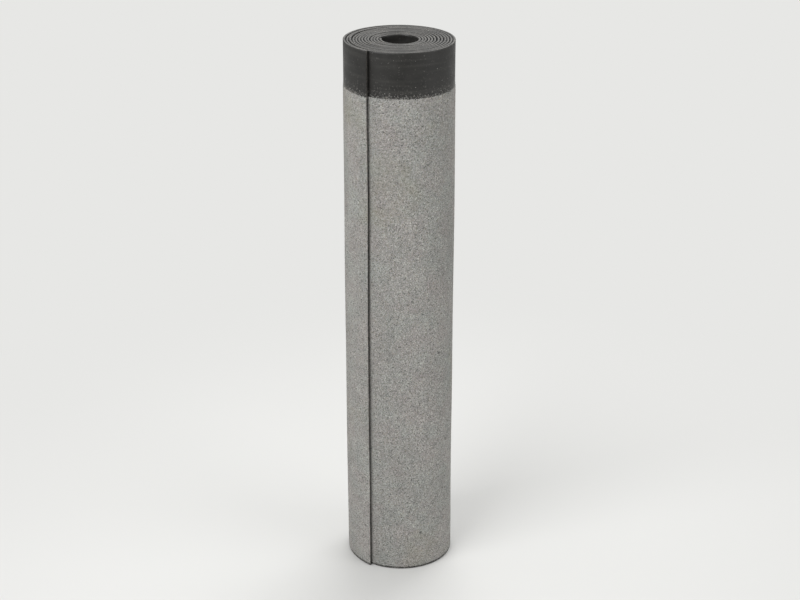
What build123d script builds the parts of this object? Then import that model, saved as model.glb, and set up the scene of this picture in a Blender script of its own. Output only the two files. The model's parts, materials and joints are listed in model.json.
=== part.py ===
"""Roll of mineral-surfaced roofing felt, standing on its end.

The felt is one bitumen sheet, 1 m wide and 5 m long, wound up tight without a tube.
The first turn is round, with the inner end of the sheet against the bore, and has to
climb over that end before it comes round to it again. Each later turn climbs the same
step more gently than the one below it, and the outer end stands out as a lap.

The outer face of every turn carries mineral granules. They stop short of the upper
edge, where a bare selvedge is left for the next sheet to lap over, and they crumble
away from the slit lower edge. There the bare sheet is thinner than its turn is deep,
and the gap between the turns draws the winding on both ends.

Millimetres, +Z up along the bore, with the origin on the bore's axis at the lower end.
"""

import os
from math import ceil, cos, pi, radians, sin

from build123d import *

# The sheet
sheet_length = 5000.0
sheet_width = 1000.0
sheet_thickness = 5.2  # granules included
granule_layer = 0.9
selvedge_width = 80.0  # bare strip along the upper edge
crumbled_edge = 2.0  # height that the granules have broken away from along the lower edge

# The winding
bore_radius = 32.0
first_climb = 70.0  # degrees in which the first turn climbs over the inner end
climb_growth = 30.0  # degrees more that each later turn takes for it
lap_direction = 235.0  # degrees from +X to the outer end


def polar(radius, angle):
    """Point at an angle counterclockwise from the inner end."""
    direction = radians(inner_end + angle)
    return (radius * cos(direction), radius * sin(direction))


def face_arcs(turn):
    """Inner face of one turn, as arcs that run on smoothly from each other.

    Each is (degrees turned before it, degrees it turns, centre, radius), with the centre
    given to polar. The first arc lies round the bore's axis. A flatter and a tighter one
    then climb one thickness, with their centres the same shift to either side of it.
    """
    turned = 360.0 * turn
    radius = bore_radius + turn * sheet_thickness
    climb = min(360.0, first_climb + turn * climb_growth)
    shift = sheet_thickness / (2 * (1 - cos(radians(climb / 2))))
    return [
        (turned, 360 - climb, (0, 0), radius),
        (turned + 360 - climb, climb / 2, (-shift, -climb), radius + shift),
        (turned + 360 - climb / 2, climb / 2, (shift, 0), radius + sheet_thickness - shift),
    ]


def degrees_wound():
    """Degrees turned when the sheet's length is used up along the middle of its thickness."""
    left = sheet_length
    turn = 0
    while True:
        for turned, sweep, _, radius in face_arcs(turn):
            arc_length = radians(sweep) * (radius + sheet_thickness / 2)
            if arc_length >= left:
                return turned + sweep * left / arc_length
            left -= arc_length
        turn += 1


wound = degrees_wound()
inner_end = lap_direction - wound


def face_curve(start, end, inset=0.0):
    """Draws the inner face from one angle turned to another, and returns its two ends.

    It is also the outer face of the turn below, and an inset takes that one's granules off.
    """
    drawn = []
    for turn in range(int(start // 360), ceil(end / 360)):
        for turned, sweep, centre, radius in face_arcs(turn):
            first = max(start, turned)
            last = min(end, turned + sweep)
            if last > first:
                arc = CenterArc(polar(*centre), radius - inset, inner_end + first, last - first)
                drawn.append(arc)
    return drawn[0] @ 0, drawn[-1] @ 1


def granulated_section():
    """Section where each turn lies on the granules of the one below, closed all through."""
    with BuildSketch() as section:
        with BuildLine():
            lap_foot, lap_top = face_curve(wound, wound + 360)
            Line(lap_top, lap_foot)
        make_face()
        with BuildLine():
            inner_foot, inner_top = face_curve(0, 360)
            Line(inner_top, inner_foot)
        make_face(mode=Mode.SUBTRACT)
    return section.sketch


def bare_section():
    """Section of the sheet without granules, which leaves a gap between its turns."""
    with BuildSketch() as section:
        with BuildLine():
            inner_foot, lap_foot = face_curve(0, wound)
            inner_top, lap_top = face_curve(360, wound + 360, inset=granule_layer)
            Line(inner_foot, inner_top)
            Line(lap_foot, lap_top)
        make_face()
    return section.sketch


with BuildPart() as felt_roll:
    with BuildSketch(Plane.XY) as lower_edge:
        add(bare_section())
    extrude(amount=crumbled_edge)

    with BuildSketch(Plane.XY.offset(crumbled_edge)) as granulated_face:
        add(granulated_section())
    extrude(amount=sheet_width - selvedge_width - crumbled_edge)

    with BuildSketch(Plane.XY.offset(sheet_width - selvedge_width)) as selvedge:
        add(bare_section())
    extrude(amount=selvedge_width)

felt_roll.part.label = "felt_roll"

os.makedirs("parts", exist_ok=True)
export_step(felt_roll.part, "parts/felt_roll.step")
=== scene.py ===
"""Roll of mineral-surfaced roofing felt, standing on its end.

One bitumen sheet, 1 m wide and 5 m long, is wound up tight without a tube. Its outer face is covered with
crushed grey mineral, which stops short of a bare black selvedge along the upper edge.
"""

import json
import random
from bisect import bisect_right
from collections import namedtuple
from math import cos, degrees, floor, pi, radians, sin

import bmesh
import bpy
from mathutils import Matrix, Vector, noise


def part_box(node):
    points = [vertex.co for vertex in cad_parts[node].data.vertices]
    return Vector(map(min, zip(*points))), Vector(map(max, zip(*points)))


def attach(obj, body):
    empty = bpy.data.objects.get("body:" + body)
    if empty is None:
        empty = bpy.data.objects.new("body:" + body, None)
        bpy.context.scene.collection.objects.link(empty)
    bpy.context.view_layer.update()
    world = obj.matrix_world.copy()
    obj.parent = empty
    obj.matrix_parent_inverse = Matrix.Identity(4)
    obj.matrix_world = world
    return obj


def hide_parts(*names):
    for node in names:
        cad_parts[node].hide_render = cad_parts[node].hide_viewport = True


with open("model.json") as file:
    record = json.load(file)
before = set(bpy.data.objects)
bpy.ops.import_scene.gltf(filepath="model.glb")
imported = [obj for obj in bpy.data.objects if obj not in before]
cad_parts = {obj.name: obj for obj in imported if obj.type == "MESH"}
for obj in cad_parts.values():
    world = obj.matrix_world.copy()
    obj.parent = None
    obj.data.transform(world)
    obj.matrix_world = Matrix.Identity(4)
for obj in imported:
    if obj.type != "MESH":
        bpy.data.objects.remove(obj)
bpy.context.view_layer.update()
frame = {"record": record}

# The bitumen sheet
# A fleece of polyester soaked and coated with black bitumen, slit to 1 m wide and cut off after 5 m. It is
# wound on a mandrel that is then drawn out, so its inner end lies at the bore and its outer end is a lap.
MM = 0.001
roll_foot, roll_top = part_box("felt_roll")
sheet_width = roll_top.z - roll_foot.z
roll_radius = (roll_top.x - roll_foot.x) / 2
bore = next(mount for mount in frame["record"]["mounts"] if mount["name"] == "bore")
bore_radius = bore["dims"]["r_mm"] * MM
sheet_length = 5000 * MM
turn_depth = 5.2 * MM  # of one turn in the roll, granules included
bare_thickness = 4.3 * MM
first_climb = 70  # degrees in which the first turn climbs over the inner end
climb_growth = 30  # degrees more that each later turn takes for it
lap_direction = 235  # degrees from +X to the outer end

# One arc of the winding: where it starts and how far it goes in degrees, how far and which way its centre is
# shifted from the bore's axis, and its radius.
Arc = namedtuple("Arc", "start sweep shift shift_angle radius")


def turn_arcs(turn):
    """The arcs of one turn's underside: a round one, then a flatter and a tighter one.

    These two climb a turn's depth, and their centres are shifted so that all run on smoothly.
    """
    start = 360 * turn
    radius = bore_radius + turn * turn_depth
    climb = min(360, first_climb + turn * climb_growth)
    shift = turn_depth / (2 * (1 - cos(radians(climb / 2))))
    return [
        Arc(start, 360 - climb, 0, 0, radius),
        Arc(start + 360 - climb, climb / 2, -shift, -climb, radius + shift),
        Arc(start + 360 - climb / 2, climb / 2, shift, 0, radius + turn_depth - shift),
    ]


# The arcs follow each other until the sheet is used up, measured along the middle of its turn's depth.
arcs = []
lengths_before = []
wound_length = 0
turn = 0
while wound_length < sheet_length:
    for arc in turn_arcs(turn):
        arcs.append(arc)
        lengths_before.append(wound_length)
        wound_length += radians(arc.sweep) * (arc.radius + turn_depth / 2)
    turn += 1
arc_starts = [arc.start for arc in arcs]
last = bisect_right(lengths_before, sheet_length) - 1
left_over = sheet_length - lengths_before[last]
outer_end = arcs[last].start + degrees(left_over / (arcs[last].radius + turn_depth / 2))
inner_end_direction = lap_direction - outer_end


def polar(radius, angle):
    """Point at an angle counterclockwise from the inner end."""
    direction = radians(inner_end_direction + angle)
    return Vector((radius * cos(direction), radius * sin(direction), 0))


def length_at(turned):
    """Length along the sheet from its inner end."""
    index = bisect_right(arc_starts, turned) - 1
    return lengths_before[index] + radians(turned - arc_starts[index]) * (arcs[index].radius + turn_depth / 2)


# Nothing made by winding is quite true. The roll is a little out of round, some turns stand higher than
# others, the cut across the outer end wanders, and that end springs off the roll below it. The turns of the
# selvedge have no granules to fill their pitch, so they lean in or out.
out_of_round = 1.3 * MM
bulge = 240 * MM  # length of one bulge or hollow
turn_rise = 3.0 * MM
rise_wave = 150  # degrees
cut_wander = 0.8  # degrees
cut_wave = 90 * MM
spring_angle = 26  # degrees before the outer end where it starts to spring off
spring_gap = 1.6 * MM
spring_unevenness = 0.8
spring_wave = 190 * MM
selvedge_lean = 0.6 * MM
lean_wave = 95  # degrees
selvedge_width = 80 * MM
granulated_to = sheet_width - selvedge_width


def wander(distance, wave, seed):
    """Smooth change between about -1 and 1 along a distance. Each thing that wanders has its own seed."""
    return noise.noise(Vector((distance / wave, seed + 0.5, 0.5)))


def on_winding(turned, height, depth):
    """Place of a point of the sheet, from the degrees turned, its height and depth above the underside."""
    to_end = max(0, 1 - (outer_end - turned) / spring_angle)
    turned += cut_wander * to_end**8 * wander(height, cut_wave, 1)
    arc = arcs[bisect_right(arc_starts, turned) - 1]
    point = polar(arc.shift, arc.shift_angle) + polar(arc.radius + depth, turned)
    point *= 1 + out_of_round / roll_radius * noise.noise(Vector((point.x, point.y, height)) / bulge)
    spring = spring_gap * to_end**2 * (1 + spring_unevenness * wander(height, spring_wave, 2))
    up_selvedge = max(0, (height - granulated_to) / selvedge_width)
    lean = selvedge_lean * up_selvedge * wander(turned, lean_wave, 3)
    point += polar(spring + lean, turned)
    point.z = height + turn_rise * wander(turned, rise_wave, 4) ** 2
    return point


def between(ends, share):
    """Number that lies a share of the way from one end to the other."""
    return ends[0] + (ends[1] - ends[0]) * share


# Each piece has a flat map that its finish can be drawn on. These are the parts of the map's width and height
# that the sheet and the cut ends take.
faces_across_map = (0.004, 0.984)
cut_ends_across_map = (0.990, 0.998)
up_map = (0.01, 0.99)
seam_reach = 0.01 * MM  # within which the corners of the first and last row are merged


def wind(columns, rows, station, fold):
    """A closed sheet wound into the roll, from a flat grid whose last row meets its first.

    station(column, row) gives the degrees turned, height and depth of a corner of the grid, and
    fold(column, row, face_column, face_row) where that corner of a face lies on the flat map.
    """
    mesh = bmesh.new()
    bmesh.ops.create_grid(mesh, x_segments=columns, y_segments=rows, size=0.5)
    bmesh.ops.translate(mesh, verts=mesh.verts, vec=(0.5, 0.5, 0))
    bmesh.ops.scale(mesh, verts=mesh.verts, vec=(columns, rows, 1))
    depth_layer = mesh.verts.layers.float.new("depth")
    along_layer = mesh.verts.layers.float.new("along")
    map_layer = mesh.loops.layers.uv.new("OFBake")
    for face in mesh.faces:
        middle = face.calc_center_median()
        for loop in face.loops:
            corner = loop.vert.co
            loop[map_layer].uv = fold(round(corner.x), round(corner.y), floor(middle.x), floor(middle.y))
    for vertex in mesh.verts:
        turned, height, depth = station(round(vertex.co.x), round(vertex.co.y) % rows)
        vertex.co = on_winding(turned, height, depth)
        vertex[depth_layer] = depth
        vertex[along_layer] = length_at(turned)
    bmesh.ops.remove_doubles(mesh, verts=mesh.verts, dist=seam_reach)
    rims = [edge for edge in mesh.edges if edge.is_boundary]
    for face in bmesh.ops.holes_fill(mesh, edges=rims, sides=0)["faces"]:
        for edge in face.edges:
            edge.smooth = False
        for loop in face.loops:
            across = between(cut_ends_across_map, loop.vert[depth_layer] / turn_depth)
            loop[map_layer].uv = (across, between(up_map, loop.vert.co.z / sheet_width))
    bmesh.ops.recalc_face_normals(mesh, faces=mesh.faces)
    return mesh


def add_object(mesh, name, material):
    """Adds an object with the mesh to the scene, at the origin."""
    data = bpy.data.meshes.new(name)
    mesh.to_mesh(data)
    mesh.free()
    data.materials.append(material)
    added = bpy.data.objects.new(name, data)
    bpy.context.scene.collection.objects.link(added)
    return added


def finish_piece(mesh, name, material):
    """Makes the mesh a piece of the roll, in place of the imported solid."""
    for face in mesh.faces:
        face.smooth = True
    piece = add_object(mesh, name, material)
    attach(piece, "root")
    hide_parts("felt_roll")


def colour(hex_code):
    """Linear colour of an sRGB hex code."""
    levels = [int(hex_code[place : place + 2], 16) / 255 for place in (1, 3, 5)]
    return [level / 12.92 if level <= 0.04045 else ((level + 0.055) / 1.055) ** 2.4 for level in levels] + [1]


def add_node(tree, kind, settings, inputs):
    """Adds a node. An input that is given a node takes its first output in use."""
    node = tree.nodes.new("ShaderNode" + kind)
    for name, value in settings.items():
        setattr(node, name, value)
    for key, value in inputs.items():
        named = [socket for socket in node.inputs if socket.enabled and socket.name == key]
        socket = node.inputs[key] if isinstance(key, int) else named[0]
        if isinstance(value, bpy.types.Node):
            value = next(output for output in value.outputs if output.enabled)
        if isinstance(value, bpy.types.NodeSocket):
            tree.links.new(value, socket)
        else:
            socket.default_value = value
    return node


def new_material(name):
    """An empty material, with its tree."""
    material = bpy.data.materials.new(name)
    material.use_nodes = True
    material.node_tree.nodes.clear()
    return material, material.node_tree


# Polymer-modified bitumen, coated on hot and chilled: near black under a dull skin. The rollers leave soft
# marks along the sheet, and handling leaves smears and dust on it. The knife leaves the cut edges matt, with
# the pale fibres of the fleece in the middle of the thickness, smeared over in stretches.
rgba = {"data_type": "RGBA"}  # makes a Mix node mix colours
roller_mark = (140 * MM, 9 * MM)  # along and across the sheet
smear = 30 * MM
speck = 3.5 * MM  # of dust
fibre = 2.2 * MM
grit = 1.4 * MM
dusty_strip = (granulated_to - 2 * MM, granulated_to + 26 * MM)
fleece_depth = 2.5 * MM
half_fleece = 0.4 * MM
half_cut = bare_thickness / 2 - 0.35 * MM  # half of the depth that only the cut edges have

bitumen, tree = new_material("coated_bitumen")
place = add_node(tree, "TexCoord", {}, {}).outputs["Object"]
height = add_node(tree, "SeparateXYZ", {}, {0: place}).outputs["Z"]
depth = add_node(tree, "Attribute", {"attribute_name": "depth"}, {}).outputs["Fac"]
along = add_node(tree, "Attribute", {"attribute_name": "along"}, {}).outputs["Fac"]
marks_along = add_node(tree, "Math", {"operation": "DIVIDE"}, {0: along, 1: roller_mark[0]})
marks_across = add_node(tree, "Math", {"operation": "DIVIDE"}, {0: height, 1: roller_mark[1]})
mark_place = add_node(tree, "CombineXYZ", {}, {"X": marks_along, "Y": marks_across})
marks = add_node(tree, "TexNoise", {}, {"Vector": mark_place, "Scale": 1, "Detail": 4})
smears = add_node(tree, "TexNoise", {}, {"Vector": place, "Scale": 1 / smear, "Detail": 5, "Roughness": 0.6})
specks = add_node(tree, "TexNoise", {}, {"Vector": place, "Scale": 1 / speck, "Detail": 6, "Roughness": 0.75})
fibres = add_node(tree, "TexNoise", {}, {"Vector": place, "Scale": 1 / fibre, "Detail": 5, "Roughness": 0.7})
grains = add_node(tree, "TexNoise", {}, {"Vector": place, "Scale": 1 / grit, "Detail": 3, "Roughness": 0.6})

skin = add_node(tree, "Mix", rgba, {"Factor": smears, "A": colour("#151514"), "B": colour("#2B2A28")})
worn = add_node(tree, "MapRange", {}, {"Value": marks, "From Min": 0.5, "From Max": 0.72, "To Max": 0.5})
marked = add_node(tree, "Mix", rgba, {"Factor": worn, "A": skin, "B": colour("#3A3936")})
extra_dust = add_node(
    tree,
    "MapRange",
    {},
    {"Value": height, "From Min": dusty_strip[0], "From Max": dusty_strip[1], "To Min": 0.1, "To Max": 0},
)
dusting = add_node(tree, "Math", {"operation": "ADD"}, {0: specks, 1: extra_dust})
dust = add_node(tree, "MapRange", {}, {"Value": dusting, "From Min": 0.6, "From Max": 0.72, "To Max": 0.55})
dusty = add_node(tree, "Mix", rgba, {"Factor": dust, "A": marked, "B": colour("#82807B")})

in_fleece = add_node(tree, "Math", {"operation": "COMPARE"}, {0: depth, 1: fleece_depth, 2: half_fleece})
teased = add_node(tree, "MapRange", {}, {"Value": fibres, "From Min": 0.38, "From Max": 0.56, "To Min": 0.15})
unsmeared = add_node(
    tree, "MapRange", {}, {"Value": smears, "From Min": 0.42, "From Max": 0.6, "To Min": 1, "To Max": 0.25}
)
bare_fibres = add_node(tree, "Math", {"operation": "MULTIPLY"}, {0: teased, 1: unsmeared})
fleece = add_node(tree, "Math", {"operation": "MULTIPLY"}, {0: in_fleece, 1: bare_fibres})
fleeced = add_node(tree, "Mix", rgba, {"Factor": fleece, "A": dusty, "B": colour("#88837A")})

cut = add_node(tree, "Math", {"operation": "COMPARE"}, {0: depth, 1: bare_thickness / 2, 2: half_cut})
dullness = add_node(
    tree, "MapRange", {}, {"Value": smears, "From Min": 0.3, "From Max": 0.7, "To Min": 0.3, "To Max": 0.55}
)
roughness = add_node(tree, "Mix", {"data_type": "FLOAT"}, {"Factor": cut, "A": dullness, "B": 0.6})
ripples = add_node(tree, "Bump", {}, {"Strength": 0.5, "Distance": 0.5 * MM, "Height": marks})
relief = add_node(
    tree, "Bump", {}, {"Strength": 0.4, "Distance": 0.35 * MM, "Height": grains, "Normal": ripples}
)
shader = add_node(
    tree,
    "BsdfPrincipled",
    {},
    {"Base Color": fleeced, "Roughness": roughness, "IOR": 1.5, "Specular IOR Level": 0.35, "Normal": relief},
)
add_node(tree, "OutputMaterial", {}, {"Surface": shader})

# The sheet's section is gone round once: up its underside, over the slit edge, down its outer face and back.
# Its points lie closer together at the edges, up the selvedge and at the fleece.
edge_rounding = 0.45 * MM
face_heights = [0, 3, 12, 40, 120, 300, 500, 700, 850] + list(range(900, 1000, 6)) + [997, 1000]  # mm
face_heights = [min(max(up * MM, edge_rounding), sheet_width - edge_rounding) for up in face_heights]
cut_depths = [share * bare_thickness for share in (0.12, 0.5, 0.56, 0.64, 0.88)]
section = (
    [(height, 0) for height in face_heights]
    + [(sheet_width, depth) for depth in cut_depths]
    + [(height, bare_thickness) for height in reversed(face_heights)]
    + [(0, depth) for depth in reversed(cut_depths)]
)

inner_step = 5  # degrees from one column of the sheet's corners to the next
outer_step = 2
outer_stretch = 372  # degrees before the outer end, a little more than the turn in view
outer_start = outer_end - outer_stretch
inner_columns = round(outer_start / inner_step)
outer_columns = round(outer_stretch / outer_step)
sheet_columns = inner_columns + outer_columns
bore_columns = round(360 / inner_step)


def sheet_station(column, row):
    """A point of the sheet's section. The steps along the sheet are finer round the outer turn."""
    if column < inner_columns:
        turned = outer_start * column / inner_columns
    else:
        turned = between((outer_start, outer_end), (column - inner_columns) / outer_columns)
    return (turned, *section[row])


# The flat map holds the sheet's length in nine pages, one above the other: the turn at the bore, whose
# underside shows, seven of inner turns, of which only the slit edges show, and the outer turn, whose selvedge
# shows. A face that can't be seen is drawn very thin.
hidden = 0.01
selvedge_from = granulated_to - 10 * MM  # safely below the border of the granules
page_margins = (0.004, 0.996)


def page_places(underside, selvedge):
    """Places of the section's points up a page, at the given scales. Slit edges are drawn in full."""
    places = [0]
    for (height, depth), (next_height, next_depth) in zip(section, section[1:] + section[:1]):
        if depth == next_depth == 0:
            scale = underside
        elif depth == next_depth:
            scale = selvedge if min(height, next_height) > selvedge_from else hidden
        else:
            scale = 1
        places.append(places[-1] + scale * (abs(next_height - height) + abs(next_depth - depth)))
    return places


bore_page = page_places(underside=0.25, selvedge=hidden)
inner_page = page_places(underside=hidden, selvedge=hidden)
outer_page = page_places(underside=hidden, selvedge=1)
inner_pages = 7
inner_page_columns = (inner_columns - bore_columns) / inner_pages
page_starts = [0] + [bore_columns + round(inner_page_columns * page) for page in range(inner_pages + 1)]
page_ends = page_starts[1:] + [sheet_columns]
pages = [bore_page] + [inner_page] * inner_pages + [outer_page]
page_feet = [sum(places[-1] for places in pages[:page]) for page in range(len(pages) + 1)]


def fold_sheet(column, row, face_column, face_row):
    """Where a corner of one of the sheet's faces lies on the flat map."""
    page = bisect_right(page_starts, face_column) - 1
    along_page = (column - page_starts[page]) / (page_ends[page] - page_starts[page])
    up_page = between(page_margins, pages[page][row] / pages[page][-1])
    up = between((page_feet[page], page_feet[page + 1]), up_page) / page_feet[-1]
    return between(faces_across_map, along_page), up


mesh = wind(sheet_columns, len(section), sheet_station, fold_sheet)
finish_piece(mesh, "bitumen_sheet", bitumen)

# The mineral granules
# Crushed grey slate and stone, about 1 mm, scattered on the hot bitumen and rolled in, so that the chips lie
# every way up and hide the sheet. They cover the outer face up to the selvedge, and crumble away where the
# sheet is slit.
grain = 1.2 * MM  # a little coarser than real, so that it shows
chip_spacing = 1.33 * MM  # of the mesh's corners, each of which is a chip's top
granule_depth = turn_depth - bare_thickness
chip_tops = (0.3, 1)  # shares of that depth
chip_shift = 0.5 * MM
sunk = 0.15 * MM  # in the bitumen, for the coat's back and borders
granulated_from = 2 * MM
ragged_below = 1.3 * MM
ragged_above = 2 * MM
notch = 1.1  # chips along a ragged border
under_lap = 10  # degrees that the coat goes on under the outer end
# because one piece would have too many triangles
strips = 4  # the coat is made in four pieces, each with a quarter of its triangles

# Crushed stone, unglazed: matt chips with flat broken faces, mostly mid grey, some rusty, and a few of pale
# quartz or dark slate. They read as an even speckle with no shine. Under it lie soft clouds and bands from
# the coating line, dust, a faint olive soiling, and here and there a bald spot where chips have come off.
clump = 5 * MM
patch = 22 * MM
cloud = 90 * MM
band = (95 * MM, 900 * MM)  # along and across the sheet
haze = 48 * MM
soiling = 150 * MM
bald_pitch = 55 * MM
bald_border = 0.03  # share of that pitch to a bald spot's border, which the clumps make ragged
bald_middle = 0.015
bald_raggedness = 0.06
chip_rounding = 0.3  # fall of a chip's face, as a share of the way out from its middle

granules, tree = new_material("crushed_mineral")
place = add_node(tree, "TexCoord", {}, {}).outputs["Object"]
height = add_node(tree, "SeparateXYZ", {}, {0: place}).outputs["Z"]
along = add_node(tree, "Attribute", {"attribute_name": "along"}, {}).outputs["Fac"]
bands_along = add_node(tree, "Math", {"operation": "DIVIDE"}, {0: along, 1: band[0]})
bands_across = add_node(tree, "Math", {"operation": "DIVIDE"}, {0: height, 1: band[1]})
band_place = add_node(tree, "CombineXYZ", {}, {"X": bands_along, "Y": bands_across})
bands = add_node(tree, "TexNoise", {}, {"Vector": band_place, "Scale": 1, "Detail": 3, "Roughness": 0.5})
clumps = add_node(tree, "TexNoise", {}, {"Vector": place, "Scale": 1 / clump, "Detail": 2, "Roughness": 0.7})
patches = add_node(tree, "TexNoise", {}, {"Vector": place, "Scale": 1 / patch, "Detail": 2, "Roughness": 0.6})
clouds = add_node(tree, "TexNoise", {}, {"Vector": place, "Scale": 1 / cloud, "Detail": 4, "Roughness": 0.55})
dust = add_node(tree, "TexNoise", {}, {"Vector": place, "Scale": 1 / haze, "Detail": 3, "Roughness": 0.6})
dirt = add_node(tree, "TexNoise", {}, {"Vector": place, "Scale": 1 / soiling, "Detail": 4, "Roughness": 0.6})
chips = add_node(tree, "TexVoronoi", {}, {"Vector": place, "Scale": 1 / grain, "Randomness": 1})
bald = add_node(tree, "TexVoronoi", {}, {"Vector": place, "Scale": 1 / bald_pitch, "Randomness": 1})

chip_random = chips.outputs["Color"]
chance = add_node(tree, "SeparateColor", {}, {0: chip_random}).outputs
stone = add_node(tree, "Mix", rgba, {"Factor": chance["Red"], "A": colour("#868583"), "B": colour("#ACAAA8")})
rusty = add_node(
    tree, "MapRange", {}, {"Value": chance["Green"], "From Min": 0.88, "From Max": 0.92, "To Max": 0.5}
)
warm = add_node(tree, "Mix", rgba, {"Factor": rusty, "A": stone, "B": colour("#968B78")})
quartz = add_node(tree, "MapRange", {}, {"Value": chance["Blue"], "From Min": 0.94, "From Max": 0.95})
pale = add_node(tree, "Mix", rgba, {"Factor": quartz, "A": warm, "B": colour("#C8C8C4")})
slate = add_node(tree, "MapRange", {}, {"Value": chance["Blue"], "From Min": 0.09, "From Max": 0.08})
mottled = add_node(tree, "Mix", rgba, {"Factor": slate, "A": pale, "B": colour("#575755")})
for pattern, swing in ((clumps, 0.1), (patches, 0.065), (clouds, 0.06), (bands, 0.06)):
    shade = add_node(
        tree,
        "MapRange",
        {},
        {"Value": pattern, "From Min": 0.3, "From Max": 0.7, "To Min": 1 - swing, "To Max": 1 + swing},
    )
    mottled = add_node(tree, "VectorMath", {"operation": "SCALE"}, {0: mottled, "Scale": shade})

dust_share = add_node(tree, "MapRange", {}, {"Value": dust, "From Min": 0.35, "From Max": 0.65})
tint = add_node(tree, "Mix", rgba, {"Factor": dust_share, "A": colour("#FAFEFB"), "B": colour("#FFFCFA")})
tinted = add_node(tree, "VectorMath", {"operation": "MULTIPLY"}, {0: mottled, 1: tint})
dirty = add_node(tree, "MapRange", {}, {"Value": dirt, "From Min": 0.58, "From Max": 0.74, "To Max": 0.35})
soiled = add_node(tree, "Mix", rgba, {"Factor": dirty, "A": tinted, "B": colour("#8D866A")})
ragged_border = add_node(tree, "Math", {"operation": "MULTIPLY"}, {0: clumps, 1: bald_raggedness})
from_bald = add_node(tree, "Math", {"operation": "SUBTRACT"}, {0: bald.outputs["Distance"], 1: ragged_border})
bareness = add_node(
    tree,
    "MapRange",
    {},
    {"Value": from_bald, "From Min": bald_border, "From Max": bald_middle, "To Max": 0.75},
)
coat = add_node(tree, "Mix", rgba, {"Factor": bareness, "A": soiled, "B": colour("#3B3A38")})

chip_middle = chips.outputs["Position"]
on_chip = add_node(tree, "VectorMath", {"operation": "SUBTRACT"}, {0: place, 1: chip_middle})
tilt = add_node(tree, "VectorMath", {"operation": "SUBTRACT"}, {0: chip_random, 1: (0.5, 0.5, 0.5)})
facet = add_node(tree, "VectorMath", {"operation": "DOT_PRODUCT"}, {0: on_chip, 1: tilt}).outputs["Value"]
way_out = chips.outputs["Distance"]
fall = add_node(tree, "Math", {"operation": "MULTIPLY"}, {0: way_out, 1: chip_rounding * grain})
chip_height = add_node(tree, "Math", {"operation": "SUBTRACT"}, {0: facet, 1: fall})
relief = add_node(tree, "Bump", {}, {"Strength": 1, "Distance": 1, "Height": chip_height})
shader = add_node(
    tree, "BsdfPrincipled", {}, {"Base Color": coat, "Roughness": 0.85, "IOR": 1.5, "Normal": relief}
)
add_node(tree, "OutputMaterial", {}, {"Surface": shader})

strip_columns = round(radians(360 + under_lap) * roll_radius / (strips * chip_spacing))
granule_rows = round((granulated_to - granulated_from) / chip_spacing)
granule_back_rows = 5


def up_coat(row, face_rows, back_rows):
    """How far up the coat a row lies. The first rows go up its face, and the last ones down its back."""
    return row / face_rows if row <= face_rows else 1 - (row - face_rows) / back_rows


def chip_chance(column, row, coat_number):
    """Three random numbers from 0 to 1 that belong to one chip of a coat."""
    return noise.cell_vector(Vector((column + 0.5, row + 0.5, coat_number + 0.5)))


def granule_station(first_column):
    """Station of one strip of granules, whose borders fall on those of the strips beside it."""

    def station(column, row):
        column += first_column
        turned = outer_end - (360 + under_lap) * (1 - column / (strips * strip_columns))
        low = granulated_from + ragged_below * (1 + wander(column, notch, 5))
        high = granulated_to + ragged_above * wander(column, notch, 6)
        height = between((low, high), up_coat(row, granule_rows, granule_back_rows))
        if row == 0 or row >= granule_rows:
            return turned, height, bare_thickness - sunk
        chance = chip_chance(column, row, 0)
        depth = bare_thickness + granule_depth * between(chip_tops, chance.x)
        return turned, height + chip_shift * (chance.y - 0.5), depth

    return station


folds_across_map = ((0.004, 0.320), (0.329, 0.645), (0.654, 0.970))
back_across_map = (0.979, 0.985)


def fold_granules(column, row, face_column, face_row):
    """Where a corner of a face lies on the flat map, which has the strip's outer side in three folds."""
    if face_row >= granule_rows:
        up_back = (row - granule_rows) / granule_back_rows
        return between(back_across_map, column / strip_columns), between(up_map, up_back)
    fold_rows = granule_rows / len(folds_across_map)
    fold = floor(face_row / fold_rows)
    return between(folds_across_map[fold], column / strip_columns), between(up_map, row / fold_rows - fold)


for strip in range(strips):
    station = granule_station(strip * strip_columns)
    mesh = wind(strip_columns, granule_rows + granule_back_rows, station, fold_granules)
    finish_piece(mesh, f"granules_{strip + 1}", granules)

# The granules between the inner turns
# The same coat goes on to the inner end of the sheet. Only its lower border can be seen, in the gaps between
# the slit edges that the roll stands on, so it is made only as deep as those gaps can be looked into.
inner_coat_height = 20 * MM
inner_chip_spacing = 2.5 * MM
inner_chip_tops = (0.3, 0.9)
inner_coat_end = outer_end - 360 - under_lap
inner_coat_columns = round(length_at(inner_coat_end) / inner_chip_spacing)
inner_coat_rows = round(inner_coat_height / inner_chip_spacing)
inner_back_rows = 2


def inner_coat_station(column, row):
    """Station of the coat between the turns, from the inner end to where the outer strips start."""
    turned = inner_coat_end * column / inner_coat_columns
    low = granulated_from + ragged_below * (1 + wander(column, notch, 7))
    height = low + inner_coat_height * up_coat(row, inner_coat_rows, inner_back_rows)
    if row == 0 or row >= inner_coat_rows:
        return turned, height, bare_thickness - sunk
    chance = chip_chance(column, row, 1)
    return turned, height, bare_thickness + granule_depth * between(inner_chip_tops, chance.x)


inner_folds = 16
inner_folds_across_map = (0.01, 0.98)
inner_fold_margins = (0.05, 0.95)


def fold_inner_coat(column, row, face_column, face_row):
    """Where a corner of a face lies on the flat map, which has the coat in sixteen lengths."""
    fold_columns = inner_coat_columns / inner_folds
    fold = floor(face_column / fold_columns)
    up_fold = between(inner_fold_margins, row / (inner_coat_rows + inner_back_rows))
    return between(inner_folds_across_map, column / fold_columns - fold), (fold + up_fold) / inner_folds


mesh = wind(inner_coat_columns, inner_coat_rows + inner_back_rows, inner_coat_station, fold_inner_coat)
finish_piece(mesh, "granules_inside", granules)

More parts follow.
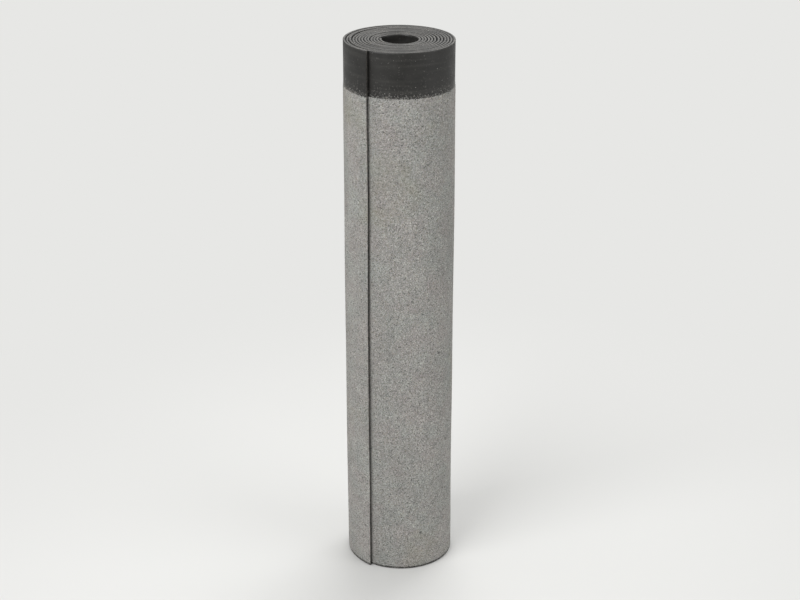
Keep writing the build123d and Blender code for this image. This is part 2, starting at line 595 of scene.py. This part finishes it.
# The loose chips
# Granules that weren't pressed in fully, or have come off. They straggle past both borders of the coat, stick
# out along the cut across the outer end, and a few have come to lie on the selvedge and the upper end.
chip_size = (0.9 * MM, 1.9 * MM)
chip_breadth = (0.6, 0.9)  # shares of its size
chip_thickness = (0.35, 0.6)
chip_angularity = (0.65, 1.15)  # how far its corners are moved in or out
chip_tilt = 0.4  # radians
chip_corners = 12  # of the icosahedron that it is made from
chips_past_upper_border = 620
spread_past_upper_border = 3 * MM
chips_on_selvedge = 60
chips_past_lower_border = 450
reach_past_lower_border = (-1.2 * MM, 1 * MM)
chips_along_cut = 520
depths_along_cut = (2.8 * MM, 5 * MM, 4.7 * MM)  # least, most and likeliest
chips_on_upper_end = 75
depths_on_upper_end = (0.6 * MM, 3.6 * MM)
height_on_upper_end = 0.2 * MM
chips_across_map = 45  # and as many up it, which is room for 2,025
chip_on_map = 0.8  # of the room that a chip has there, which its two sides share
draw = random.Random(5)
mesh = bmesh.new()
along_layer = mesh.verts.layers.float.new("along")
map_layer = mesh.loops.layers.uv.new("OFBake")


def add_chip(turned, height, depth, facing):
    """An angular chip that lies nearly flat on the side that faces the given way."""
    number = len(mesh.verts) // chip_corners
    map_place = Vector((number % chips_across_map + 0.5, number // chips_across_map + 0.5))
    size = draw.uniform(*chip_size)
    made = bmesh.ops.create_icosphere(mesh, subdivisions=1, radius=size / 2)["verts"]
    for face in {face for vertex in made for face in vertex.link_faces}:
        for loop in face.loops:
            loop[map_layer].uv = (map_place + loop.vert.co.xy * chip_on_map / size) / chips_across_map
    lie = facing.to_track_quat("Z", "Y").to_matrix().to_4x4()
    spin = Matrix.Rotation(draw.uniform(0, 2 * pi), 4, "Z")
    tip = Matrix.Rotation(draw.gauss(0, chip_tilt), 4, "X")
    flat = Matrix.Diagonal((1, draw.uniform(*chip_breadth), draw.uniform(*chip_thickness), 1))
    set_down = Matrix.Translation(on_winding(turned, height, depth)) @ lie @ spin @ tip @ flat
    for vertex in made:
        vertex.co = set_down @ (vertex.co * draw.uniform(*chip_angularity))
        vertex[along_layer] = length_at(turned)


def add_chip_on_outer_turn(height):
    """A chip on the outer turn, at a random place round it."""
    turned = outer_end - draw.uniform(0, 360)
    add_chip(turned, height, bare_thickness, polar(1, turned))


for _ in range(chips_past_upper_border):
    add_chip_on_outer_turn(granulated_to + abs(draw.gauss(0, spread_past_upper_border)))
for _ in range(chips_on_selvedge):
    add_chip_on_outer_turn(draw.uniform(granulated_to, sheet_width - edge_rounding))
for _ in range(chips_past_lower_border):
    add_chip_on_outer_turn(granulated_from + draw.uniform(*reach_past_lower_border))
for _ in range(chips_along_cut):
    cut_height = draw.uniform(granulated_from, granulated_to)
    cut_depth = draw.triangular(*depths_along_cut)
    add_chip(outer_end, cut_height, cut_depth, polar(1, outer_end + 90))
for _ in range(chips_on_upper_end):
    turned = draw.uniform(0, outer_end)
    end_depth = draw.uniform(*depths_on_upper_end)
    add_chip(turned, sheet_width + height_on_upper_end, end_depth, Vector((0, 0, 1)))
finish_piece(mesh, "loose_chips", granules)

# The studio
# A pale floor that the roll stands on, and three large soft lamps round it. The floor keeps the roll's
# shadow, and further out it turns into the plain background.
background = colour("#E7E7E5")
plain_from = 0.4  # metres from the roll's middle
plain_at = 1.3
floor_reach = 15  # to each side

studio_floor, tree = new_material("studio_floor")
place = add_node(tree, "TexCoord", {}, {}).outputs["Object"]
distance = add_node(tree, "VectorMath", {"operation": "LENGTH"}, {0: place}).outputs["Value"]
far = add_node(
    tree,
    "MapRange",
    {"interpolation_type": "SMOOTHSTEP"},
    {"Value": distance, "From Min": plain_from, "From Max": plain_at},
)
rays = add_node(tree, "LightPath", {}, {}).outputs
plain = add_node(tree, "Math", {"operation": "MULTIPLY"}, {0: far, 1: rays["Is Camera Ray"]})
paper = add_node(tree, "BsdfPrincipled", {}, {"Base Color": colour("#CFCFCD"), "Roughness": 0.9})
glow = add_node(tree, "Emission", {}, {"Color": background, "Strength": 1})
shown = add_node(tree, "MixShader", {}, {0: plain, 1: paper, 2: glow})
add_node(tree, "OutputMaterial", {}, {"Surface": shown})
mesh = bmesh.new()
bmesh.ops.create_grid(mesh, x_segments=1, y_segments=1, size=floor_reach)
add_object(mesh, "floor", studio_floor)

middle = Vector((0, 0, sheet_width / 2))


def add_lamp(name, direction, distance, size, power):
    """A square soft lamp that faces the middle of the roll, in metres and watts."""
    data = bpy.data.lights.new(name, "AREA")
    data.size = size
    data.energy = power
    lamp = bpy.data.objects.new(name, data)
    lamp.location = middle + Vector(direction).normalized() * distance
    lamp.rotation_euler = Vector(direction).to_track_quat("Z", "Y").to_euler()
    bpy.context.scene.collection.objects.link(lamp)


add_lamp("key", direction=(-1.0, -1.1, 1.1), distance=3.2, size=2.2, power=77)
add_lamp("fill", direction=(1.5, -0.7, 0.6), distance=3.6, size=2.6, power=38)
add_lamp("back", direction=(0.3, 1.0, 1.3), distance=3.2, size=2.4, power=72)

world = bpy.data.worlds.new("studio")
bpy.context.scene.world = world
world.use_nodes = True
tree = world.node_tree
tree.nodes.clear()
rays = add_node(tree, "LightPath", {}, {}).outputs
sharp = add_node(tree, "Math", {"operation": "MAXIMUM"}, {0: rays["Is Camera Ray"], 1: rays["Is Glossy Ray"]})
seen = add_node(tree, "Math", {"operation": "MAXIMUM"}, {0: sharp, 1: rays["Is Transmission Ray"]})
room = add_node(tree, "Background", {}, {"Color": colour("#E8E8E8"), "Strength": 0.61})
wall = add_node(tree, "Background", {}, {"Color": background, "Strength": 1})
either = add_node(tree, "MixShader", {}, {0: seen, 1: room, 2: wall})
add_node(tree, "OutputWorld", {}, {"Surface": either})

# The camera looks down at the angle of the photograph, from far enough to show the whole roll.
camera_angle = radians(23)  # above level
camera_distance = 3.25  # metres
camera_rise = Vector((0, 0, 12 * MM))  # sets the roll in the middle of the picture
camera_data = bpy.data.cameras.new("camera")
camera_data.lens = 80  # mm
camera = bpy.data.objects.new("camera", camera_data)
camera_direction = Vector((0, -cos(camera_angle), sin(camera_angle)))
camera.location = middle + camera_direction * camera_distance + camera_rise
camera.rotation_euler = camera_direction.to_track_quat("Z", "Y").to_euler()
bpy.context.scene.collection.objects.link(camera)
bpy.context.scene.camera = camera
bpy.context.scene.view_settings.view_transform = "Standard"
